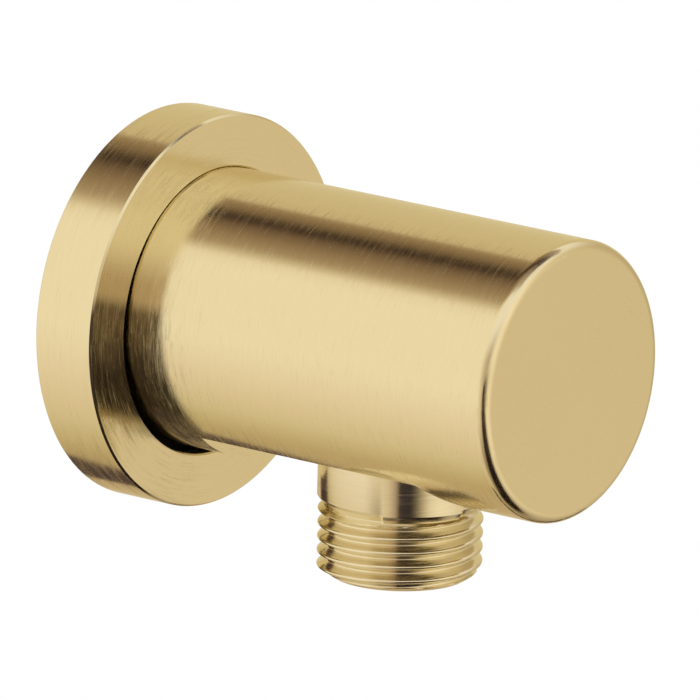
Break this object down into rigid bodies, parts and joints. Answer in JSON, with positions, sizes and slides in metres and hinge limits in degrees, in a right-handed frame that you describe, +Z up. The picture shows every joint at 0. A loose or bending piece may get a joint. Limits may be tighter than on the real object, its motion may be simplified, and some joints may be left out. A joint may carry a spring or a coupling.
{
  "type": "wall outlet elbow",
  "caption": "Round shower wall outlet elbow: straight brushed-gold body through a loose cover plate, closed flat front, threaded hose nipple pointing down, backflow valve inside.",
  "frame": {"origin": "where the body's axis meets the finished wall, at the root of the wall thread", "axes": "+Y into the wall along the body's axis, -Y out into the room, +Z up, outlet pointing to -Z"},
  "size_m": [0.0506, 0.0759, 0.0542],
  "materials": {
    "brushed_gold": "brushed, lacquered gold tone",
    "turned_gold": "fine turned, gold tone",
    "plain_brass": "machined",
    "black_rubber": "matte",
    "valve_plastic": "moulded",
    "stainless": "plain"
  },
  "bodies": {
    "elbow": {"elbow_body": "brushed_gold", "escutcheon": "brushed_gold", "escutcheon_gasket": "black_rubber", "wall_nipple": "plain_brass", "spigot_o_ring_front": "black_rubber", "spigot_o_ring_rear": "black_rubber", "grub_screw": "stainless", "outlet_seal": "black_rubber", "outlet_nipple": "turned_gold", "valve_housing": "valve_plastic", "valve_o_ring": "black_rubber", "valve_guide": "valve_plastic", "valve_spring": "stainless"},
    "poppet": {"valve_poppet": "valve_plastic", "poppet_seal": "black_rubber"}
  },
  "joints": [
    {"name": "poppet_slide", "type": "slide", "parent": "elbow", "child": "poppet", "axis": [0, 0, -1], "range_m": [0, 0.0026], "stiffness_N_per_m": 150, "springref_m": -0.002, "deforming": ["valve_spring"]}
  ]
}
